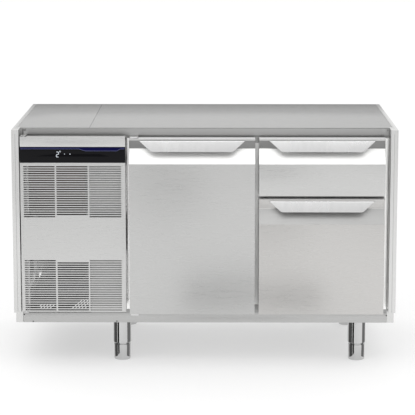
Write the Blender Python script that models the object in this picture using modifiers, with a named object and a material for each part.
"""A refrigerated under counter cabinet: cooling unit, hinged door and two drawers.

Metres, +Z up. The front faces -Y. The origin is on the floor, under the middle of the cabinet.
"""

import math

import bmesh
import bpy
from mathutils import Matrix, Vector

# ---------------------------------------------------------------- driving dimensions
WIDTH = 1.260
HEIGHT = 0.800
DEPTH = 0.700  # door face to back
HANDLE_REACH = 0.012  # how far a handle's lower edge stands in front of the door face

CLEARANCE = 0.0003  # between pieces that touch
SHEET = 0.0012  # ordinary sheet steel
HEAVY_SHEET = 0.0015  # base, rails and racks
SOFT_EDGE = 0.0016  # rounding of the folded edges one can touch

LEG_SPACE = 0.144  # floor to underside of the base
LEG_RADIUS = 0.030
LEG_WALL = 0.0013
FOOT_RADIUS = 0.028
FOOT_SHOWN = 0.060
FOOT_IN_TUBE = 0.075
LEG_PLATE = 0.100
LEG_PLATE_THICKNESS = 0.003
LEG_LEFT_OF_DOOR = 0.033  # a left leg's axis from the door's left edge
LEG_INSIDE_DRAWER = 0.077  # a right leg's axis from the drawers' right edge
LEG_FRONT_INSET = 0.132  # from the door face to a front leg's axis
LEG_REAR_INSET = 0.080

SIDE_FLAP = 0.024  # width of a side panel's front flap
SIDE_SEAM = 0.013  # width of a side panel behind the flap
SIDE_FLAP_FOOT = 0.046  # the flap stops this far above the base's underside
FLAP_DEPTH_BEHIND_FRAME = 0.020

FRAME_SETBACK = 0.055  # door face to the frame's front plane
FRAME_DEPTH = 0.020
RAIL_HEIGHT = 0.028
RAIL_DEPTH = 0.020
BASE_WALL_HEIGHT = 0.034
MULLION_DEPTH = 0.045

UNIT_PANEL_WIDTH = 0.3438
UNIT_PANEL_DEPTH = 0.025
UNIT_PANEL_LEFT_GAP = 0.0035
UNIT_PANEL_BELOW_TOP = 0.0225
UNIT_PANEL_ABOVE_BASE = 0.049
UNIT_TO_DOOR_GAP = 0.0117
DOOR_TO_DRAWER_GAP = 0.013
DRAWER_TO_SIDE_GAP = 0.016
DRAWER_TO_DRAWER_GAP = 0.010
DOOR_BELOW_TOP = 0.0295
DOOR_ABOVE_BASE = 0.0414
UPPER_DRAWER_HEIGHT = 0.189

BODY_THICKNESS = 0.043  # door and drawer fronts without the gasket
SKIN = 0.001
FLANGE_HEIGHT = 0.005  # the top edge above the grip recess
RECESS_DEPTH = 0.0255
RECESS_WALL_END = 0.033  # from the front's top edge down
RECESS_SLOPE_END = 0.084

HANDLE_SIDE_INSET = 0.033  # handle's top corner from the front's side edge
HANDLE_CORNER_RUN = 0.040  # sideways run of the slanted ends
HANDLE_DROP = 0.041
HANDLE_SHEET = 0.0015
HANDLE_HEM = 0.003
HANDLE_HEM_HEIGHT = 0.007
HANDLE_HOOK = 0.020

GASKET_INSET = 0.010
GASKET_WIDTH = 0.014
OPENING_INSET = 0.020  # frame opening from the edges of its front

CELL_LEFT_OF_DOOR = 0.131  # room for the evaporator, left of the door
CELL_WALL = 0.040
LINER_SHEET = 0.0008
BACK_INSULATION = 0.050

GLASS_TOP = 0.0334  # from the panel's top edge down
GLASS_HEIGHT = 0.0527
GLASS_THICKNESS = 0.0042
SLOT_HEIGHT = 0.004
SLOT_PITCH = 0.00753
SLOT_ROWS = 23
SLOT_MARGIN = 0.010  # from the panel's left edge
SLOT_SHARES = (0.2993, 0.3005, 0.3045)  # of the panel's width
SLOT_BARS = (0.0049, 0.0039)
UPPER_SLOTS_BELOW_TOP = 0.0989
LOWER_SLOTS_ABOVE_BOTTOM = 0.0069

HINGE_PIN_RADIUS = 0.005
HINGE_PIN_LENGTH = 0.014
HINGE_PIN_CLEARANCE = 0.0006
HINGE_INSET = 0.010  # hinge axis from the door's left edge and from its face
HINGE_PLATE_WIDTH = 0.0245
HINGE_PLATE_THICKNESS = 0.004
PANEL_PIN_RADIUS = 0.003
PANEL_PIN_LENGTH = 0.006  # inside the panel
PANEL_PIN_INSET = (0.012, 0.008)  # from the panel's left edge and from its face
PANEL_STRAP_WIDTH = 0.018
PANEL_EAR_GAP = 0.002  # between an ear and the panel's edge

RACK_OFFSET = 0.0005
SLIDE_END_SPACE = 0.042  # behind the slides
SLIDE_HEIGHT = 0.045
SLIDE_LIP = 0.0055
SLIDE_STEP = 0.001  # running gap between nested slide members
DRAWER_SIDE_OFFSET = 0.016  # drawer frame's side wall from the opening's edge
DRAWER_FRAME_LENGTH = 0.545
DRAWER_LIP = 0.012
DRAWER_FRAME_GAP = 0.003  # from the opening's edges, above and below

SHELF_WIDTH = 0.325
SHELF_DEPTH = 0.530
SHELF_WIRE = 0.005
SHELF_BARS = 13
RUNNER_WIDTH = 0.020
RUNNER_SPACING = 0.130

CONDENSER_SIDE_SPACE = 0.0192
CONDENSER_HEIGHT = 0.190
CONDENSER_DEPTH = 0.055
CONDENSER_BELOW_TOP = 0.110
CONDENSER_BEHIND_FRAME = 0.030
SHROUD_DEPTH = 0.050
CONDENSER_FAN_SIDE_SPACE = 0.020  # blade tip to the shroud's side
FAN_TIP_CLEARANCE = 0.006
COMPRESSOR_SIDE_SPACE = 0.0442
TRAY_SIDE_SPACE = 0.0242
TRAY_DEPTH = 0.080
TRAY_HEIGHT = 0.034
COMPRESSOR_HEIGHT = 0.200
EVAPORATOR_FAN_RADIUS = 0.060

# ---------------------------------------------------------------- places worked out from them
FRONT = HANDLE_REACH - (DEPTH + HANDLE_REACH) / 2
BACK = FRONT + DEPTH
FRAME = FRONT + FRAME_SETBACK
RIGHT = WIDTH / 2
FLAP_INNER = RIGHT - SIDE_FLAP
SEAM_INNER = RIGHT - SIDE_SEAM
BASE_TOP = LEG_SPACE + BASE_WALL_HEIGHT
RAIL_BOTTOM = HEIGHT - RAIL_HEIGHT

FRONTS_TOTAL = WIDTH - 2 * SIDE_FLAP - UNIT_PANEL_LEFT_GAP - UNIT_PANEL_WIDTH
FRONTS_TOTAL -= UNIT_TO_DOOR_GAP + DOOR_TO_DRAWER_GAP + DRAWER_TO_SIDE_GAP
FRONT_WIDTH = FRONTS_TOTAL / 2
PANEL_LEFT = -FLAP_INNER + UNIT_PANEL_LEFT_GAP
PANEL_RIGHT = PANEL_LEFT + UNIT_PANEL_WIDTH
PANEL_TOP = HEIGHT - UNIT_PANEL_BELOW_TOP
PANEL_BOTTOM = LEG_SPACE + UNIT_PANEL_ABOVE_BASE
DOOR_LEFT = PANEL_RIGHT + UNIT_TO_DOOR_GAP
DOOR_RIGHT = DOOR_LEFT + FRONT_WIDTH
DRAWER_LEFT = DOOR_RIGHT + DOOR_TO_DRAWER_GAP
DRAWER_RIGHT = DRAWER_LEFT + FRONT_WIDTH
DOOR_TOP = HEIGHT - DOOR_BELOW_TOP
DOOR_BOTTOM = LEG_SPACE + DOOR_ABOVE_BASE
UPPER_BOTTOM = DOOR_TOP - UPPER_DRAWER_HEIGHT
LOWER_TOP = UPPER_BOTTOM - DRAWER_TO_DRAWER_GAP

CELL_LEFT = DOOR_LEFT - CELL_LEFT_OF_DOOR
LINER_LEFT = CELL_LEFT + CELL_WALL
BAY_LEFT = -SEAM_INNER + CLEARANCE
BAY_RIGHT = CELL_LEFT - CLEARANCE
BAY_MIDDLE = (BAY_LEFT + BAY_RIGHT) / 2
COMPRESSOR_RADIUS = (BAY_RIGHT - BAY_LEFT) / 2 - COMPRESSOR_SIDE_SPACE
CONDENSER_WIDTH = BAY_RIGHT - BAY_LEFT - 2 * CONDENSER_SIDE_SPACE
CONDENSER_FAN_RADIUS = CONDENSER_WIDTH / 2 - CONDENSER_FAN_SIDE_SPACE
LEG_X = (DOOR_LEFT - LEG_LEFT_OF_DOOR, DRAWER_RIGHT - LEG_INSIDE_DRAWER)
OPEN_LEFT = DOOR_LEFT + OPENING_INSET
OPEN_RIGHT = DRAWER_RIGHT - OPENING_INSET
OPEN_BOTTOM = DOOR_BOTTOM + OPENING_INSET
OPEN_TOP = DOOR_TOP - OPENING_INSET
MULLION_LEFT = DOOR_RIGHT - OPENING_INSET
MULLION_RIGHT = DRAWER_LEFT + OPENING_INSET
CROSS_BOTTOM = LOWER_TOP - OPENING_INSET
CROSS_TOP = UPPER_BOTTOM + OPENING_INSET
LINER_BACK = BACK - BACK_INSULATION
CASING_FRONT = FRAME + FRAME_DEPTH + CLEARANCE
CASING_BOTTOM = LEG_SPACE + HEAVY_SHEET + CLEARANCE
RACK_FRONT = FRAME + MULLION_DEPTH + 0.002
RACK_BACK = LINER_BACK - 0.006
SLIDE_LENGTH = RACK_BACK - RACK_FRONT - SLIDE_END_SPACE

# ---------------------------------------------------------------- scene and finishes
FINISHES = {  # colour, roughness, metallic
    "steel": ((0.62, 0.62, 0.61), 0.32, 1.0),
    "bright_steel": ((0.78, 0.78, 0.77), 0.18, 1.0),
    "galvanised": ((0.55, 0.57, 0.58), 0.45, 1.0),
    "foam": ((0.80, 0.74, 0.52), 0.90, 0.0),
    "grey_rubber": ((0.30, 0.30, 0.31), 0.70, 0.0),
    "black_glass": ((0.01, 0.01, 0.012), 0.08, 0.0),
    "black_paint": ((0.03, 0.03, 0.03), 0.45, 0.0),
    "black_plastic": ((0.04, 0.04, 0.04), 0.55, 0.0),
    "grey_plastic": ((0.45, 0.46, 0.47), 0.50, 0.0),
    "aluminium": ((0.70, 0.71, 0.72), 0.35, 1.0),
    "copper": ((0.72, 0.36, 0.22), 0.30, 1.0),
}

for old in list(bpy.data.objects):
    bpy.data.objects.remove(old, do_unlink=True)

scene = bpy.context.scene
parts = bpy.data.collections.new("under_counter_fridge")
cutters = bpy.data.collections.new("cutters")
scene.collection.children.link(parts)
scene.collection.children.link(cutters)


def material_of(name, finish):
    """A Principled material of this finish, for this piece alone."""
    colour, roughness, metallic = FINISHES[finish]
    material = bpy.data.materials.new(f"{name}_{finish}")
    material.use_nodes = True
    shader = material.node_tree.nodes["Principled BSDF"]
    shader.inputs["Base Color"].default_value = (*colour, 1.0)
    shader.inputs["Roughness"].default_value = roughness
    shader.inputs["Metallic"].default_value = metallic
    return material


def piece(name, mesh, finish):
    """Puts a mesh in the parts collection as a named piece."""
    obj = bpy.data.objects.new(name, mesh)
    mesh.materials.append(material_of(name, finish))
    parts.objects.link(obj)
    return obj


def cutter(name, mesh):
    """Puts a mesh in the cutters collection, where it is only a tool."""
    obj = bpy.data.objects.new(name, mesh)
    obj.hide_render = True
    obj.display_type = "WIRE"
    cutters.objects.link(obj)
    return obj


def mesh_from(bm, name):
    """The finished mesh of a bmesh, with its faces pointing out."""
    bmesh.ops.recalc_face_normals(bm, faces=bm.faces)
    mesh = bpy.data.meshes.new(name)
    bm.to_mesh(mesh)
    bm.free()
    return mesh


def add_box(bm, low, high):
    """Adds a box between two corners."""
    low = Vector(low)
    high = Vector(high)
    size = high - low
    place = Matrix.Translation((low + high) / 2) @ Matrix.Diagonal((*size, 1.0))
    bmesh.ops.create_cube(bm, size=1.0, matrix=place)


def boxes(name, corners):
    """A mesh of boxes that don't touch each other."""
    bm = bmesh.new()
    for low, high in corners:
        add_box(bm, low, high)
    return mesh_from(bm, name)


def box(name, low, high):
    return boxes(name, [(low, high)])


# local axes of an outline that is extruded along each world axis
TURNS = {
    "X": Matrix(((0, 0, 1), (1, 0, 0), (0, 1, 0))),  # outline in (y, z)
    "Y": Matrix(((1, 0, 0), (0, 0, -1), (0, 1, 0))),  # outline in (x, z)
    "Z": Matrix(((1, 0, 0), (0, 1, 0), (0, 0, 1))),  # outline in (x, y)
}


def prism(name, outline, axis, start, end):
    """A flat outline, filled and extruded along a world axis from start to end."""
    flat = bpy.data.curves.new(name, "CURVE")
    flat.dimensions = "2D"
    flat.fill_mode = "BOTH"
    flat.extrude = abs(end - start) / 2
    spline = flat.splines.new("POLY")
    spline.points.add(len(outline) - 1)
    for point, (across, up) in zip(spline.points, outline):
        point.co = (across, up, 0, 1)
    spline.use_cyclic_u = True
    obj = bpy.data.objects.new(name, flat)
    scene.collection.objects.link(obj)
    middle = Vector((0, 0, 0))
    middle["XYZ".index(axis)] = (start + end) / 2
    obj.matrix_world = Matrix.Translation(middle) @ TURNS[axis].to_4x4()
    return meshed(obj)


def meshed(obj):
    """The mesh of a curve object in world places, its caps welded. The curve is removed."""
    bpy.context.view_layer.update()
    evaluated = obj.evaluated_get(bpy.context.evaluated_depsgraph_get())
    mesh = bpy.data.meshes.new_from_object(evaluated)
    mesh.transform(obj.matrix_world)
    mesh.materials.clear()
    bm = bmesh.new()
    bm.from_mesh(mesh)
    bmesh.ops.remove_doubles(bm, verts=bm.verts, dist=1e-6)
    name = obj.name
    bpy.data.objects.remove(obj, do_unlink=True)
    bpy.data.meshes.remove(mesh)
    return mesh_from(bm, name)


def turned(name, profile, place, finish, steps=28):
    """A profile of (radius, height), down its outer side, turned round its own Z at a place."""
    bm = bmesh.new()
    points = [bm.verts.new((radius, 0, height)) for radius, height in profile]
    for first, second in zip(points, points[1:]):
        bm.edges.new((first, second))
    if profile[0][0] > 0:
        bm.edges.new((points[-1], points[0]))
    mesh = bpy.data.meshes.new(name)
    bm.to_mesh(mesh)
    bm.free()
    obj = piece(name, mesh, finish)
    obj.matrix_world = place
    screw = obj.modifiers.new("turn", "SCREW")
    screw.steps = steps
    screw.render_steps = steps
    screw.use_merge_vertices = True
    screw.merge_threshold = 0.0001
    screw.use_smooth_shade = True
    return obj


def cylinder(name, radius, start, end, sides=24):
    """A cylinder between two points."""
    start = Vector(start)
    end = Vector(end)
    along = end - start
    place = Matrix.Translation((start + end) / 2) @ along.to_track_quat("Z", "Y").to_matrix().to_4x4()
    bm = bmesh.new()
    bmesh.ops.create_cone(
        bm, cap_ends=True, segments=sides, radius1=radius, radius2=radius, depth=along.length, matrix=place
    )
    return mesh_from(bm, name)


def combine(obj, mesh, operation):
    """Joins a mesh to a piece, or cuts it away, and keeps the mesh as a tool."""
    tool = cutter(f"{obj.name}_{mesh.name}", mesh)
    boolean = obj.modifiers.new(mesh.name, "BOOLEAN")
    boolean.operation = operation
    boolean.solver = "EXACT"
    boolean.object = tool


def cut(obj, mesh):
    combine(obj, mesh, "DIFFERENCE")


def join(obj, mesh):
    combine(obj, mesh, "UNION")


def keep(obj, mesh):
    combine(obj, mesh, "INTERSECT")


def soften(obj, width=SOFT_EDGE, segments=2):
    """Rounds the piece's sharp edges."""
    bevel = obj.modifiers.new("soft_edges", "BEVEL")
    bevel.width = width
    bevel.segments = segments
    bevel.limit_method = "ANGLE"
    bevel.angle_limit = math.radians(40)
    bevel.use_clamp_overlap = True


def arc(centre, radius, start, end, steps):
    """Points on an arc, with its angles in degrees."""
    points = []
    for step in range(steps + 1):
        angle = math.radians(start + (end - start) * step / steps)
        points.append((centre[0] + radius * math.cos(angle), centre[1] + radius * math.sin(angle)))
    return points


# ---------------------------------------------------------------- base, legs and feet
def make_base():
    left = -FLAP_INNER + CLEARANCE
    right = FLAP_INNER - CLEARANCE
    base = piece("base_frame", box("pan", (left, FRAME, LEG_SPACE), (right, BACK, BASE_TOP)), "steel")
    inner = box(
        "inside",
        (left + HEAVY_SHEET, FRAME + HEAVY_SHEET, LEG_SPACE + HEAVY_SHEET),
        (right - HEAVY_SHEET, BACK - HEAVY_SHEET, HEIGHT),
    )
    cut(base, inner)
    vent_edge = 0.030
    vent = box(
        "unit_vent",
        (left + vent_edge, FRAME + vent_edge, 0),
        (CELL_LEFT - vent_edge, BACK - vent_edge, HEIGHT),
    )
    cut(base, vent)


def make_legs():
    """Four tubes under the base, each with a foot that slides out of it."""
    names = ("front_left", "front_right", "rear_left", "rear_right")
    rows = (FRONT + LEG_FRONT_INSET, BACK - LEG_REAR_INSET)
    places = [(x, y) for y in rows for x in LEG_X]
    plate_top = LEG_SPACE - CLEARANCE
    plate_bottom = plate_top - LEG_PLATE_THICKNESS
    inner = LEG_RADIUS - LEG_WALL
    half = LEG_PLATE / 2
    for name, (x, y) in zip(names, places):
        tube = [
            (LEG_RADIUS, plate_top - LEG_PLATE_THICKNESS / 2),
            (LEG_RADIUS, FOOT_SHOWN + 0.001),
            (LEG_RADIUS - 0.0005, FOOT_SHOWN),
            (inner, FOOT_SHOWN),
            (inner, plate_top - LEG_PLATE_THICKNESS / 2),
        ]
        leg = turned(f"leg_{name}", tube, Matrix.Translation((x, y, 0)), "bright_steel")
        plate = box("plate", (-half, -half, plate_bottom), (half, half, plate_top))
        plate.transform(Matrix.Translation((x, y, 0)))
        join(leg, plate)
        foot_top = FOOT_SHOWN + FOOT_IN_TUBE
        wall = 0.003
        floor = 0.008
        groove = FOOT_SHOWN - 0.003
        edge = 0.007
        rounding = [(FOOT_RADIUS - edge + px, edge + pz) for px, pz in arc((0, 0), edge, 0, -90, 4)]
        foot = [
            (0, floor),
            (FOOT_RADIUS - wall, floor),
            (FOOT_RADIUS - wall, foot_top),
            (FOOT_RADIUS, foot_top),
            (FOOT_RADIUS, groove + 0.001),
            (FOOT_RADIUS - 0.001, groove),
            (FOOT_RADIUS, groove - 0.001),
            *rounding,
            (0, 0),
        ]
        turned(f"foot_{name}", foot, Matrix.Translation((x, y, 0)), "bright_steel")


# ---------------------------------------------------------------- side panels and top
def side_plan(front, wall, side):
    """A side panel seen from above, drawn in by a wall thickness. side is 1 at right, -1 at left."""
    thick_end = FRAME + FLAP_DEPTH_BEHIND_FRAME
    plan = [
        (FLAP_INNER + wall, front + wall),
        (RIGHT - wall, front + wall),
        (RIGHT - wall, BACK - wall),
        (SEAM_INNER + wall, BACK - wall),
        (SEAM_INNER + wall, thick_end - wall),
        (FLAP_INNER + wall, thick_end - wall),
    ]
    return [(side * x, y) for x, y in plan]


def make_side(name, side):
    """A folded pan: outer sheet, box-shaped front flap, closed on top, open to the inside behind."""
    flap_bottom = LEG_SPACE + SIDE_FLAP_FOOT
    panel = piece(name, prism("flap", side_plan(FRONT, 0, side), "Z", flap_bottom, HEIGHT), "steel")
    join(panel, prism("lower", side_plan(FRAME, 0, side), "Z", LEG_SPACE, flap_bottom + SHEET))
    hollow = prism("hollow", side_plan(FRONT, SHEET, side), "Z", flap_bottom + SHEET, HEIGHT - SHEET)
    cut(panel, hollow)
    low = prism("low_hollow", side_plan(FRAME, SHEET, side), "Z", LEG_SPACE + SHEET, flap_bottom + 2 * SHEET)
    cut(panel, low)
    fold = 0.010
    mouth_x = sorted((side * (SEAM_INNER - 0.001), side * (SEAM_INNER + 2 * SHEET)))
    mouth = box(
        "mouth",
        (mouth_x[0], FRAME + FLAP_DEPTH_BEHIND_FRAME + fold, LEG_SPACE + fold),
        (mouth_x[1], BACK - fold, HEIGHT - fold),
    )
    cut(panel, mouth)
    soften(panel, SOFT_EDGE / 4, 1)


def make_top():
    """The rail above the doors and the cover over the cooling unit."""
    left = -FLAP_INNER + CLEARANCE
    right = FLAP_INNER - CLEARANCE
    lid_bottom = HEIGHT - SHEET - CLEARANCE
    rail = piece(
        "top_rail", box("angle", (left, FRAME, RAIL_BOTTOM), (right, FRAME + RAIL_DEPTH, lid_bottom)), "steel"
    )
    cut(
        rail,
        box(
            "inside",
            (left - 1, FRAME + HEAVY_SHEET, RAIL_BOTTOM - 1),
            (right + 1, FRAME + RAIL_DEPTH + 1, lid_bottom - HEAVY_SHEET),
        ),
    )
    hole_z = HEIGHT - 0.0075
    hole_x = right - 0.0055
    cut(rail, cylinder("hole", 0.0025, (hole_x, FRAME - 0.01, hole_z), (hole_x, FRAME + 0.01, hole_z), 12))
    hook_x = left + 0.0012
    hook_low = (hook_x, FRAME - 0.01, hole_z - 0.006)
    cut(rail, box("hook", hook_low, (hook_x + 0.003, FRAME + 0.01, hole_z + 0.003)))

    low = (BAY_LEFT, FRAME, HEIGHT - SHEET)
    cover = piece("unit_top_cover", box("lid", low, (BAY_RIGHT, BACK, HEIGHT)), "steel")
    notch_low = (BAY_LEFT - 1, FRAME - 1, 0)
    cut(cover, box("flap_notch", notch_low, (-FLAP_INNER + CLEARANCE, CASING_FRONT, HEIGHT + 1)))
    fold = 0.015
    rear_low = (BAY_LEFT, BACK - SHEET, HEIGHT - fold)
    join(cover, box("rear_fold", rear_low, (BAY_RIGHT, BACK, HEIGHT - SHEET / 2)))
    bay_fold = (BAY_LEFT, CASING_FRONT, HEIGHT - fold)
    join(cover, box("side_fold", bay_fold, (BAY_LEFT + SHEET, BACK - SHEET / 2, HEIGHT - SHEET / 2)))


# ---------------------------------------------------------------- insulated cell
def make_cell():
    """Outer casing, foam and inner liner, one inside the other, all open to the front."""
    right = SEAM_INNER - CLEARANCE
    base_right = FLAP_INNER - 2 * CLEARANCE - HEAVY_SHEET
    step = BASE_TOP + CLEARANCE
    low_back = BACK - HEAVY_SHEET - CLEARANCE

    def shell(name, wall, finish, front):
        """The cell's outer form drawn in by a wall: narrow where it stands in the base pan."""
        obj = piece(
            name,
            box("body", (CELL_LEFT + wall, front, step + wall), (right - wall, BACK - wall, HEIGHT - wall)),
            finish,
        )
        foot_low = (CELL_LEFT + wall, front, CASING_BOTTOM + wall)
        join(obj, box("foot", foot_low, (base_right - wall, low_back - wall, step + 2 * wall + 0.001)))
        return obj

    casing = shell("cell_casing", 0, "steel", CASING_FRONT)
    lip_low = (CELL_LEFT, FRAME, HEIGHT - SHEET)
    join(casing, box("lip", lip_low, (FLAP_INNER - CLEARANCE, CASING_FRONT + SHEET, HEIGHT)))
    deep = CASING_FRONT - 0.001
    inner_top = (right - SHEET, BACK - SHEET, HEIGHT - SHEET)
    cut(casing, box("upper_inside", (CELL_LEFT + SHEET, deep, step + SHEET), inner_top))
    inner_low = (base_right - SHEET, low_back - SHEET, step + 2 * SHEET)
    cut(casing, box("lower_inside", (CELL_LEFT + SHEET, deep, CASING_BOTTOM + SHEET), inner_low))

    foam = shell("insulation_core", SHEET + CLEARANCE, "foam", CASING_FRONT)
    liner_low = Vector((LINER_LEFT, CASING_FRONT, OPEN_BOTTOM))
    liner_high = Vector((OPEN_RIGHT, LINER_BACK, OPEN_TOP))
    grow = Vector((1, 0, 1)) * (LINER_SHEET + CLEARANCE)
    cavity_high = liner_high + grow + Vector((0, LINER_SHEET + CLEARANCE, 0))
    cut(foam, box("cavity", liner_low - grow - Vector((0, 0.001, 0)), cavity_high))

    sheet = Vector((1, 0, 1)) * LINER_SHEET
    tub_high = liner_high + sheet + Vector((0, LINER_SHEET, 0))
    liner = piece("inner_liner", box("tub", liner_low - sheet, tub_high), "steel")
    cut(liner, box("inside", liner_low - Vector((0, 0.001, 0)), liner_high))


def make_frame():
    """The frame the gaskets close on: ring, mullion and cross rail."""
    right = FLAP_INNER - CLEARANCE
    low = (CELL_LEFT, FRAME, BASE_TOP + CLEARANCE)
    high = (right, FRAME + FRAME_DEPTH, RAIL_BOTTOM - CLEARANCE)
    ring = piece("front_frame", box("ring", low, high), "steel")
    cut(ring, box("mouth", (OPEN_LEFT, FRAME - 1, OPEN_BOTTOM), (OPEN_RIGHT, FRAME + 1, OPEN_TOP)))
    back = FRAME + MULLION_DEPTH
    bottom = OPEN_BOTTOM + CLEARANCE
    top = OPEN_TOP - CLEARANCE
    bar = box("bar", (MULLION_LEFT, FRAME, bottom), (MULLION_RIGHT, back, top))
    piece("centre_mullion", bar, "steel")
    rail_low = (MULLION_RIGHT + CLEARANCE, FRAME, CROSS_BOTTOM)
    cross_bar = box("cross_bar", rail_low, (OPEN_RIGHT - CLEARANCE, back, CROSS_TOP))
    piece("drawer_cross_rail", cross_bar, "steel")


# ---------------------------------------------------------------- door and drawer fronts
def front_section(top, bottom, wall, back):
    """The inside of a front from the side, as (y, z), drawn in by a wall: flat face, slope, recess wall."""
    drop = RECESS_SLOPE_END - RECESS_WALL_END
    slope = math.hypot(RECESS_DEPTH, drop)
    lean = wall * (slope - RECESS_DEPTH) / drop
    turn = wall * (slope - drop) / RECESS_DEPTH
    return [
        (FRONT + wall, bottom + wall),
        (back, bottom + wall),
        (back, top - wall),
        (FRONT + RECESS_DEPTH + wall, top - wall),
        (FRONT + RECESS_DEPTH + wall, top - RECESS_WALL_END - turn),
        (FRONT + wall, top - RECESS_SLOPE_END - lean),
    ]


def make_front(name, left, right, bottom, top):
    """Skin, foam core, gasket and handle of one door or drawer front."""
    back = FRONT + BODY_THICKNESS
    outer = front_section(top, bottom, 0, back - CLEARANCE)
    flange_under = top - FLANGE_HEIGHT
    flange = [(FRONT, top), (FRONT, flange_under), (FRONT + RECESS_DEPTH, flange_under)]
    outer = outer[:3] + flange + outer[4:]
    skin = piece(f"{name}_skin", prism("profile", outer, "X", left, right), "steel")
    inner = front_section(top, bottom, SKIN, back + 0.01)
    cut(skin, prism("inside", inner, "X", left + SKIN, right - SKIN))

    gap = SKIN + CLEARANCE
    core_section = front_section(top, bottom, gap, back)
    core = piece(f"{name}_core", prism("profile", core_section, "X", left + gap, right - gap), "steel")

    ring_low = Vector((left + GASKET_INSET, back + CLEARANCE, bottom + GASKET_INSET))
    ring_high = Vector((right - GASKET_INSET, FRAME - CLEARANCE, top - GASKET_INSET))
    gasket = piece(f"{name}_gasket", box("ring", ring_low, ring_high), "grey_rubber")
    width = Vector((GASKET_WIDTH, 0, GASKET_WIDTH))
    reach = Vector((0, 1, 0))
    cut(gasket, box("hole", ring_low + width - reach, ring_high - width + reach))

    make_handle(f"{name}_handle", left + HANDLE_SIDE_INSET, right - HANDLE_SIDE_INSET, top)
    return skin, core


def make_handle(name, left, right, top):
    """A folded plate: hooked under the flange, leaning out, hemmed below, with slanted ends."""
    hook_top = top - FLANGE_HEIGHT - CLEARANCE
    low = top - HANDLE_DROP
    lean = HANDLE_REACH / (hook_top - low)
    hem_top = low + HANDLE_HEM_HEIGHT
    hem_y = FRONT - HANDLE_REACH + HANDLE_HEM_HEIGHT * lean
    section = [
        (FRONT + HANDLE_HOOK, hook_top),
        (FRONT, hook_top),
        (FRONT - HANDLE_REACH, low),
        (FRONT - HANDLE_REACH + HANDLE_HEM, low - HANDLE_HEM * lean),
        (hem_y + HANDLE_HEM, hem_top),
        (hem_y + HANDLE_SHEET, hem_top + HANDLE_SHEET / 2),
        (FRONT + HANDLE_SHEET - HANDLE_SHEET * lean, hook_top - HANDLE_SHEET),
        (FRONT + HANDLE_HOOK, hook_top - HANDLE_SHEET),
    ]
    handle = piece(name, prism("fold", section, "X", left, right), "bright_steel")
    round_corner = 0.010
    lowest = low - HANDLE_HEM
    outline = [
        (left, hook_top + 0.001),
        (left, hook_top - 0.001),
        *bend((left, hook_top), (left + HANDLE_CORNER_RUN, lowest), (right, lowest), round_corner),
        *bend((left, lowest), (right - HANDLE_CORNER_RUN, lowest), (right, hook_top), round_corner),
        (right, hook_top - 0.001),
        (right, hook_top + 0.001),
    ]
    keep(handle, prism("outline", outline, "Y", FRONT - 2 * HANDLE_REACH, FRONT + 2 * HANDLE_HOOK))


def bend(before, corner, after, setback, steps=4):
    """Points that round a corner, as a curve through the two points that lie a setback from it."""
    corner = Vector(corner)
    start = corner + (Vector(before) - corner).normalized() * setback
    end = corner + (Vector(after) - corner).normalized() * setback
    points = []
    for step in range(steps + 1):
        t = step / steps
        point = start * (1 - t) ** 2 + corner * (2 * t * (1 - t)) + end * t**2
        points.append((point.x, point.y))
    return points


def hinge_axis():
    return DOOR_LEFT + HINGE_INSET, FRONT + HINGE_INSET


def make_door():
    skin, core = make_front("door", DOOR_LEFT, DOOR_RIGHT, DOOR_BOTTOM, DOOR_TOP)
    x, y = hinge_axis()
    hole_radius = HINGE_PIN_RADIUS + HINGE_PIN_CLEARANCE
    hole_depth = HINGE_PIN_LENGTH + 0.002
    bearings = (("lower_bearing", DOOR_BOTTOM, 1), ("upper_bearing", DOOR_TOP, -1))
    for name, edge, way in bearings:
        for obj in (skin, core):
            cut(obj, cylinder(name, hole_radius, (x, y, edge - way * 0.002), (x, y, edge + way * hole_depth)))


def make_hinges():
    """Plates on the frame, each with a pin that stands in the door's edge."""
    x, y = hinge_axis()
    half = HINGE_PLATE_WIDTH / 2
    face = FRAME - CLEARANCE
    left = x - HINGE_INSET + 0.0015
    right = left + HINGE_PLATE_WIDTH + HINGE_PLATE_THICKNESS
    running = 0.001
    for name, edge, way in (("door_top_hinge", DOOR_TOP, 1), ("door_bottom_hinge", DOOR_BOTTOM, -1)):
        near = edge + way * running
        far = near + way * HINGE_PLATE_THICKNESS
        low, high = sorted((near, far))
        plate = piece(name, box("plate", (left, y - half / 2, low), (right, face, high)), "bright_steel")
        pin_end = edge - way * HINGE_PIN_LENGTH
        join(plate, cylinder("pin", HINGE_PIN_RADIUS, (x, y, near + way * 0.002), (x, y, pin_end), 16))


# ---------------------------------------------------------------- drawers and their slides
def slide_outline(offset, thickness, half_height, lip, way, edge, z):
    """A slide member's C-shaped outline in (x, z). way is 1 from the left side, -1 from the right."""
    back = edge + way * offset
    inside = back + way * thickness
    tip = inside + way * lip
    low = z - half_height
    high = z + half_height
    return [
        (back, low),
        (tip, low),
        (tip, low + thickness),
        (inside, low + thickness),
        (inside, high - thickness),
        (tip, high - thickness),
        (tip, high),
        (back, high),
    ]


def make_racks(heights):
    """Side plates of the drawer compartment, with a fixed slide member for each drawer."""
    sides = (("drawer_rack_left", MULLION_RIGHT, 1), ("drawer_rack_right", OPEN_RIGHT, -1))
    bottom = OPEN_BOTTOM + CLEARANCE
    top = OPEN_TOP - CLEARANCE
    for name, edge, way in sides:
        xs = sorted((edge + way * RACK_OFFSET, edge + way * (RACK_OFFSET + HEAVY_SHEET)))
        rack = piece(name, box("plate", (xs[0], RACK_FRONT, bottom), (xs[1], RACK_BACK, top)), "galvanised")
        for number, z in enumerate(heights):
            outline = slide_outline(
                RACK_OFFSET + HEAVY_SHEET / 2, HEAVY_SHEET, SLIDE_HEIGHT / 2, SLIDE_LIP, way, edge, z
            )
            start = RACK_FRONT + CLEARANCE
            join(rack, prism(f"slide_{number}", outline, "Y", start, RACK_FRONT + SLIDE_LENGTH))


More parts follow.
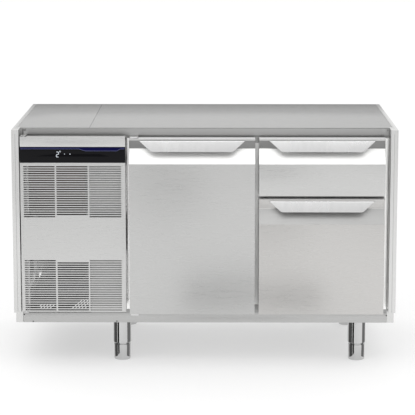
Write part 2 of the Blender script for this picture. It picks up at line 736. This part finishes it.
def make_drawer(name, bottom, top, slide_z):
    """A drawer: its front, an open frame for food pans, and the two middle slide members."""
    make_front(name, DRAWER_LEFT, DRAWER_RIGHT, bottom, top)
    start = FRONT + BODY_THICKNESS + CLEARANCE
    end = start + min(DRAWER_FRAME_LENGTH, RACK_BACK - start)
    low = Vector((MULLION_RIGHT + DRAWER_SIDE_OFFSET, start, bottom + GASKET_INSET + GASKET_WIDTH))
    high = Vector((OPEN_RIGHT - DRAWER_SIDE_OFFSET, end, top - GASKET_INSET - GASKET_WIDTH))
    gap = Vector((0, 0, DRAWER_FRAME_GAP))
    low += gap
    high -= gap + Vector((0, 0, RECESS_WALL_END - OPENING_INSET))
    frame = piece(f"{name}_frame", box("tub", low, high), "galvanised")
    wall = Vector((SHEET, SHEET, SHEET))
    above = Vector((0, 0, 1))
    cut(frame, box("inside", low + wall, high - wall + above))
    lip = Vector((DRAWER_LIP, DRAWER_LIP, 0))
    cut(frame, box("bottom", low + lip - above, high - lip))

    web = HEAVY_SHEET
    for side, edge, way in (("left", MULLION_RIGHT, 1), ("right", OPEN_RIGHT, -1)):
        fixed_web = RACK_OFFSET + 1.5 * HEAVY_SHEET
        middle_half = SLIDE_HEIGHT / 2 - web - SLIDE_STEP
        middle = slide_outline(fixed_web + SLIDE_STEP, web, middle_half, SLIDE_LIP, way, edge, slide_z)
        outline_mesh = prism("channel", middle, "Y", RACK_FRONT, RACK_FRONT + SLIDE_LENGTH)
        piece(f"{name}_slide_{side}", outline_mesh, "galvanised")
        bar_half = middle_half - web - SLIDE_STEP
        bar_start = fixed_web + 2 * SLIDE_STEP + web + 0.002
        xs = sorted((edge + way * bar_start, edge + way * (DRAWER_SIDE_OFFSET + web / 2)))
        bar_low = (xs[0], start, slide_z - bar_half)
        join(frame, box(f"bar_{side}", bar_low, (xs[1], end, slide_z + bar_half)))


# ---------------------------------------------------------------- door compartment
def make_shelf():
    """Two racks with runners, and a wire shelf on the middle pair."""
    centre = (OPEN_LEFT + MULLION_LEFT) / 2
    width = min(SHELF_WIDTH, MULLION_LEFT - OPEN_LEFT - 0.040)
    half = width / 2 + 0.009
    bottom = OPEN_BOTTOM + CLEARANCE
    top = OPEN_TOP - CLEARANCE
    middle = (bottom + top) / 2
    runner_zs = [middle + step * RUNNER_SPACING for step in (-1, 0, 1)]
    for name, way in (("shelf_rack_left", -1), ("shelf_rack_right", 1)):
        outer = centre + way * (half + SHEET)
        inner = centre + way * half
        xs = sorted((outer, inner))
        rack = piece(name, box("plate", (xs[0], RACK_FRONT, bottom), (xs[1], RACK_BACK, top)), "steel")
        runner_xs = sorted((centre + way * (half + SHEET / 2), inner - way * RUNNER_WIDTH))
        for number, z in enumerate(runner_zs):
            low = (runner_xs[0], RACK_FRONT, z - SHEET)
            join(rack, box(f"runner_{number}", low, (runner_xs[1], RACK_BACK, z)))

    depth = min(SHELF_DEPTH, RACK_BACK - RACK_FRONT - 0.004)
    front = RACK_FRONT + 0.002
    shelf_z = runner_zs[1] + CLEARANCE
    left = centre - width / 2
    low = (left, front, shelf_z)
    high = (left + width, front + depth, shelf_z + SHELF_WIRE)
    shelf = piece("wire_shelf", box("grid", low, high), "bright_steel")
    pitch = (width - SHELF_WIRE) / (SHELF_BARS - 1)
    rows = 3
    row_pitch = (depth - SHELF_WIRE) / rows
    holes = []
    for column in range(SHELF_BARS - 1):
        for row in range(rows):
            x = left + SHELF_WIRE + column * pitch
            y = front + SHELF_WIRE + row * row_pitch
            far = (x + pitch - SHELF_WIRE, y + row_pitch - SHELF_WIRE, shelf_z + 1)
            holes.append(((x, y, shelf_z - 1), far))
    cut(shelf, boxes("holes", holes))


def make_evaporator():
    """Finned coil, its cover panel and the fan, at the left end of the cell."""
    x_left = LINER_LEFT + 0.006
    x_right = x_left + 0.066
    y_middle = (RACK_FRONT + RACK_BACK) / 2
    z_middle = (OPEN_BOTTOM + OPEN_TOP) / 2
    half_y = 0.150
    half_z = 0.150
    low = (x_left, y_middle - half_y, z_middle - half_z)
    high = (x_right, y_middle + half_y, z_middle + half_z)
    coil = piece("evaporator_coil", box("block", low, high), "aluminium")
    fins = 16
    pitch = 2 * half_y / fins
    grooves = []
    for number in range(fins):
        y = y_middle - half_y + pitch * (number + 0.3)
        groove_low = (x_right - 0.012, y, z_middle - half_z - 1)
        grooves.append((groove_low, (x_right + 1, y + pitch * 0.55, z_middle + half_z + 1)))
    cut(coil, boxes("fins", grooves))

    cover_x = OPEN_LEFT - 0.016
    bottom = OPEN_BOTTOM + CLEARANCE
    top = OPEN_TOP - CLEARANCE
    cover = piece(
        "evaporator_cover",
        box("panel", (cover_x, RACK_FRONT, bottom), (cover_x + HEAVY_SHEET, RACK_BACK, top)),
        "steel",
    )
    radius = EVAPORATOR_FAN_RADIUS + FAN_TIP_CLEARANCE
    fan_z = z_middle + 0.060
    ends = ((cover_x - 0.01, y_middle, fan_z), (cover_x + 0.01, y_middle, fan_z))
    cut(cover, cylinder("fan_hole", radius, *ends, 32))
    slots = []
    for number in range(5):
        z = bottom + 0.020 + number * 0.016
        slots.append(((cover_x - 0.01, y_middle - 0.16, z), (cover_x + 0.01, y_middle + 0.16, z + 0.006)))
    cut(cover, boxes("return_slots", slots))
    along = Matrix.Rotation(math.radians(90), 4, "Y")
    place = Matrix.Translation((cover_x + HEAVY_SHEET / 2, y_middle, fan_z)) @ along
    make_fan("evaporator_fan", EVAPORATOR_FAN_RADIUS, 0.020, place, "grey_plastic")


def make_fan(name, radius, length, place, finish):
    """A hub with five pitched blades, in one piece, turning about its own Z."""
    blades = 5
    hub_radius = radius * 0.30
    bm = bmesh.new()
    bmesh.ops.create_cone(
        bm, cap_ends=True, segments=20, radius1=hub_radius, radius2=hub_radius, depth=length
    )
    fan = piece(name, mesh_from(bm, "hub"), finish)
    fan.matrix_world = place
    root = hub_radius * 0.8
    thickness = 0.0016
    for number in range(blades):
        chord = radius * 0.34
        outline = [
            (root, -chord * 0.45),
            (radius * 0.97, -chord * 0.75),
            (radius, 0),
            (radius * 0.97, chord * 0.75),
            (root, chord * 0.45),
        ]
        blade = prism(f"blade_{number}", outline, "Z", -thickness / 2, thickness / 2)
        pitch = Matrix.Rotation(math.radians(24), 4, "X")
        turn = Matrix.Rotation(2 * math.pi * number / blades, 4, "Z")
        blade.transform(place @ turn @ pitch)
        join(fan, blade)


# ---------------------------------------------------------------- cooling unit
def make_unit_panel():
    """The unit's front: a pan with two groups of slots and a seat for the control glass."""
    depth = FRONT + UNIT_PANEL_DEPTH
    low = (PANEL_LEFT, FRONT, PANEL_BOTTOM)
    panel = piece("unit_front_panel", box("pan", low, (PANEL_RIGHT, depth, PANEL_TOP)), "steel")
    glass_high = PANEL_TOP - GLASS_TOP
    glass_low = glass_high - GLASS_HEIGHT
    seat = FRONT + GLASS_THICKNESS + CLEARANCE
    inner_left = PANEL_LEFT + SHEET
    inner_right = PANEL_RIGHT - SHEET
    hollows = (  # name, nearest y, lowest z, highest z
        ("below_glass", FRONT + SHEET, PANEL_BOTTOM + SHEET, glass_low - SHEET),
        ("behind_glass", seat + SHEET, glass_low - 2 * SHEET, glass_high + 2 * SHEET),
        ("above_glass", FRONT + SHEET, glass_high + SHEET, PANEL_TOP - SHEET),
    )
    for name, near, bottom, top in hollows:
        cut(panel, box(name, (inner_left, near, bottom), (inner_right, depth + 1, top)))
    cut(panel, box("glass_seat", (PANEL_LEFT - 1, FRONT - 1, glass_low), (PANEL_RIGHT + 1, seat, glass_high)))
    cut(panel, boxes("slots", slot_boxes()))
    x, y = panel_axis()
    hole_radius = PANEL_PIN_RADIUS + HINGE_PIN_CLEARANCE
    for name, edge in (("lower_pivot", PANEL_BOTTOM), ("upper_pivot", PANEL_TOP)):
        cut(panel, cylinder(name, hole_radius, (x, y, edge - 0.004), (x, y, edge + 0.004), 16))

    glass = piece(
        "control_glass",
        box(
            "glass",
            (PANEL_LEFT, FRONT, glass_low + CLEARANCE),
            (PANEL_RIGHT, FRONT + GLASS_THICKNESS, glass_high - CLEARANCE),
        ),
        "black_glass",
    )
    soften(glass, 0.0008, 2)


def panel_axis():
    return PANEL_LEFT + PANEL_PIN_INSET[0], FRONT + PANEL_PIN_INSET[1]


def make_panel_hinge():
    """An upright strap on the frame, with an ear and a pin above and below the unit's front panel."""
    x, y = panel_axis()
    left = x - PANEL_STRAP_WIDTH / 2
    right = x + PANEL_STRAP_WIDTH / 2
    face = FRAME - CLEARANCE
    low = PANEL_BOTTOM - PANEL_EAR_GAP - HEAVY_SHEET
    high = PANEL_TOP + PANEL_EAR_GAP + HEAVY_SHEET
    strap = box("strap", (left, face - HEAVY_SHEET, low), (right, face, high))
    hinge = piece("unit_panel_hinge", strap, "bright_steel")
    for name, edge, way in (("lower", PANEL_BOTTOM, 1), ("upper", PANEL_TOP, -1)):
        near = edge - way * PANEL_EAR_GAP
        zs = sorted((near, near - way * HEAVY_SHEET))
        join(hinge, box(f"{name}_ear", (left, y - 2 * PANEL_PIN_RADIUS, zs[0]), (right, face, zs[1])))
        start = (x, y, near - way * HEAVY_SHEET / 2)
        end = (x, y, edge + way * PANEL_PIN_LENGTH)
        join(hinge, cylinder(f"{name}_pin", PANEL_PIN_RADIUS, start, end, 16))


def slot_boxes():
    """Three columns of slots in two groups. The middle column has one slot fewer beside the plain field."""
    found = []
    left = PANEL_LEFT + SLOT_MARGIN
    for column, share in enumerate(SLOT_SHARES):
        width = share * UNIT_PANEL_WIDTH
        rows = SLOT_ROWS - 1 if column == 1 else SLOT_ROWS
        for row in range(rows):
            upper = PANEL_TOP - UPPER_SLOTS_BELOW_TOP - row * SLOT_PITCH
            lower = PANEL_BOTTOM + LOWER_SLOTS_ABOVE_BOTTOM + row * SLOT_PITCH
            for z in (upper, lower):
                low = (left, FRONT - 0.01, z - SLOT_HEIGHT / 2)
                found.append((low, (left + width, FRONT + 0.01, z + SLOT_HEIGHT / 2)))
        if column < len(SLOT_BARS):
            left += width + SLOT_BARS[column]
    return found


def make_unit_floor():
    """A plate with slanted vents, over the open part of the base."""
    left = -FLAP_INNER + 2 * CLEARANCE + HEAVY_SHEET
    front = FRAME + HEAVY_SHEET + CLEARANCE
    back = BACK - HEAVY_SHEET - CLEARANCE
    low = (left, front, CASING_BOTTOM)
    floor = piece("unit_floor", box("plate", low, (BAY_RIGHT, back, CASING_BOTTOM + SHEET)), "galvanised")
    join(floor, box("front_fold", low, (BAY_RIGHT, front + SHEET, BASE_TOP + 0.012)))
    slot_width = 0.004
    room = BAY_RIGHT - left
    groups = ((left + 0.07 * room, 0.210, 0.100), (left + 0.61 * room, 0.215, 0.170))
    for group, (x, from_face, length) in enumerate(groups):
        for number in range(5):
            start = x + number * 0.011
            near = FRONT + from_face
            lean = length * 0.20
            outline = [
                (start, near),
                (start + slot_width, near),
                (start + slot_width + lean, near + length),
                (start + lean, near + length),
            ]
            mesh = prism(f"vent_{group}_{number}", outline, "Z", CASING_BOTTOM - 0.01, CASING_BOTTOM + 0.01)
            cut(floor, mesh)


def make_unit_rear():
    """A louvred plate at the back of the unit, with the cable gland in its lower part."""
    face = BACK - 0.020
    bottom = BASE_TOP + CLEARANCE
    top = HEIGHT - 0.016
    low = (BAY_LEFT, face - SHEET, bottom)
    grille = piece("unit_rear_grille", box("plate", low, (BAY_RIGHT, face, top)), "galvanised")
    slots = []
    rows = 14
    for row in range(rows):
        z = top - 0.060 - row * 0.020
        slots.append(((BAY_LEFT + 0.025, face - 0.01, z), (BAY_RIGHT - 0.025, face + 0.01, z + 0.009)))
    cut(grille, boxes("louvres", slots))
    gland_z = bottom + 0.060
    gland_x = BAY_MIDDLE
    radius = 0.010
    hole = radius + CLEARANCE
    hole_ends = ((gland_x, face - 0.01, gland_z), (gland_x, face + 0.01, gland_z))
    cut(grille, cylinder("gland_hole", hole, *hole_ends))
    nut = 0.014
    bore = 0.004
    profile = [
        (bore, 0.018),
        (nut - 0.003, 0.018),
        (nut, 0.014),
        (nut, CLEARANCE),
        (radius, CLEARANCE),
        (radius, -0.012),
        (bore, -0.012),
    ]
    outward = Matrix.Rotation(math.radians(-90), 4, "X")
    place = Matrix.Translation((gland_x, face, gland_z)) @ outward
    turned("cable_gland", profile, place, "black_plastic", 20)


def make_condensing_unit():
    """Condenser, shroud and fan at the front of the bay, compressor and the rest behind."""
    left = BAY_MIDDLE - CONDENSER_WIDTH / 2
    right = left + CONDENSER_WIDTH
    top = HEIGHT - CONDENSER_BELOW_TOP
    bottom = top - CONDENSER_HEIGHT
    front = FRAME + CONDENSER_BEHIND_FRAME
    back = front + CONDENSER_DEPTH
    coil = piece("condenser_coil", box("block", (left, front, bottom), (right, back, top)), "copper")
    fins = 24
    pitch = CONDENSER_HEIGHT / fins
    grooves = []
    for number in range(fins):
        z = bottom + pitch * (number + 0.25)
        grooves.append(((left + 0.008, front - 1, z), (right - 0.008, front + 0.010, z + pitch * 0.6)))
    cut(coil, boxes("fins", grooves))

    shroud_front = back + CLEARANCE
    shroud_back = shroud_front + SHROUD_DEPTH
    hood = box("hood", (left, shroud_front, bottom), (right, shroud_back, top))
    shroud = piece("condenser_shroud", hood, "black_paint")
    middle_z = (bottom + top) / 2
    hole = CONDENSER_FAN_RADIUS + FAN_TIP_CLEARANCE
    ends = ((BAY_MIDDLE, shroud_front - 0.01, middle_z), (BAY_MIDDLE, shroud_back + 0.01, middle_z))
    cut(shroud, cylinder("fan_hole", hole, *ends, 40))
    place = Matrix.Translation((BAY_MIDDLE, (shroud_front + shroud_back) / 2, middle_z))
    place = place @ Matrix.Rotation(math.radians(90), 4, "X")
    make_fan("condenser_fan", CONDENSER_FAN_RADIUS, 0.026, place, "aluminium")

    floor = CASING_BOTTOM + SHEET + CLEARANCE
    compressor_y = BACK - 0.045 - COMPRESSOR_RADIUS
    profile = [
        (0, COMPRESSOR_HEIGHT),
        (COMPRESSOR_RADIUS * 0.55, COMPRESSOR_HEIGHT * 0.97),
        (COMPRESSOR_RADIUS * 0.86, COMPRESSOR_HEIGHT * 0.88),
        (COMPRESSOR_RADIUS * 0.97, COMPRESSOR_HEIGHT * 0.74),
        (COMPRESSOR_RADIUS * 0.97, COMPRESSOR_HEIGHT * 0.56),
        (COMPRESSOR_RADIUS, COMPRESSOR_HEIGHT * 0.55),
        (COMPRESSOR_RADIUS, COMPRESSOR_HEIGHT * 0.50),
        (COMPRESSOR_RADIUS * 0.97, COMPRESSOR_HEIGHT * 0.49),
        (COMPRESSOR_RADIUS * 0.94, COMPRESSOR_HEIGHT * 0.20),
        (COMPRESSOR_RADIUS * 0.70, COMPRESSOR_HEIGHT * 0.08),
        (0, COMPRESSOR_HEIGHT * 0.06),
    ]
    place = Matrix.Translation((BAY_MIDDLE, compressor_y, floor))
    compressor = turned("compressor", profile, place, "black_paint")
    foot = COMPRESSOR_RADIUS * 1.15
    low = (BAY_MIDDLE - foot, compressor_y - foot * 0.7, floor)
    join(compressor, box("foot_plate", low, (BAY_MIDDLE + foot, compressor_y + foot * 0.7, floor + 0.018)))

    tray_back = compressor_y - COMPRESSOR_RADIUS - 0.008
    tray_low = Vector((BAY_LEFT + TRAY_SIDE_SPACE, tray_back - TRAY_DEPTH, floor))
    tray_high = Vector((BAY_RIGHT - TRAY_SIDE_SPACE, tray_back, floor + TRAY_HEIGHT))
    tray = piece("evaporation_tray", box("tray", tray_low, tray_high), "grey_plastic")
    wall = Vector((0.002, 0.002, 0.002))
    cut(tray, box("inside", tray_low + wall, tray_high - wall + Vector((0, 0, 1))))

    box_top = HEIGHT - 0.020
    box_low = (left + 0.004, shroud_back + 0.010, top - 0.010)
    case = box("case", box_low, (right - 0.004, shroud_back + 0.190, box_top))
    electrics = piece("electrical_box", case, "grey_plastic")
    soften(electrics, 0.003, 2)

    pipe_radius = 0.0035
    pipe_x = left - pipe_radius - 0.003
    port_x = BAY_MIDDLE - 0.030
    top_z = floor + COMPRESSOR_HEIGHT + 0.004
    elbow_z = bottom + 0.040
    route = [
        (port_x, compressor_y, top_z),
        (port_x, compressor_y, top_z + 0.040),
        (port_x - 0.020, compressor_y - 0.020, top_z + 0.060),
        (pipe_x + 0.010, compressor_y - 0.060, elbow_z - 0.010),
        (pipe_x, compressor_y - 0.100, elbow_z),
        (pipe_x, shroud_back, elbow_z),
        (pipe_x, front + 0.020, elbow_z),
    ]
    piece("copper_pipe", tube_along("copper_pipe_route", route, pipe_radius), "copper")


def tube_along(name, route, radius):
    """A round tube along straight runs between points, closed at its ends."""
    path = bpy.data.curves.new(name, "CURVE")
    path.dimensions = "3D"
    path.bevel_depth = radius
    path.bevel_resolution = 2
    path.use_fill_caps = True
    spline = path.splines.new("POLY")
    spline.points.add(len(route) - 1)
    for point, place in zip(spline.points, route):
        point.co = (*place, 1)
    obj = bpy.data.objects.new(name, path)
    scene.collection.objects.link(obj)
    return meshed(obj)


# ---------------------------------------------------------------- the whole cabinet
def upper_slide_z():
    """Height of the upper drawer's slides: the middle of its frame."""
    low = UPPER_BOTTOM + GASKET_INSET + GASKET_WIDTH
    high = DOOR_TOP - GASKET_INSET - GASKET_WIDTH - RECESS_WALL_END + OPENING_INSET
    return (low + high) / 2


def lower_slide_z():
    """Height of the lower drawer's slides: in the lower third of its frame."""
    low = DOOR_BOTTOM + GASKET_INSET + GASKET_WIDTH
    high = LOWER_TOP - GASKET_INSET - GASKET_WIDTH
    return low + (high - low) / 3


make_base()
make_legs()
make_side("left_side_panel", -1)
make_side("right_side_panel", 1)
make_top()
make_cell()
make_frame()
make_door()
make_hinges()
make_racks((lower_slide_z(), upper_slide_z()))
make_drawer("upper_drawer", UPPER_BOTTOM, DOOR_TOP, upper_slide_z())
make_drawer("lower_drawer", DOOR_BOTTOM, LOWER_TOP, lower_slide_z())
make_shelf()
make_evaporator()
make_unit_panel()
make_panel_hinge()
make_unit_floor()
make_unit_rear()
make_condensing_unit()
print(f"{len(parts.objects)} pieces, {WIDTH:.3f} x {DEPTH + HANDLE_REACH:.3f} x {HEIGHT:.3f} m")
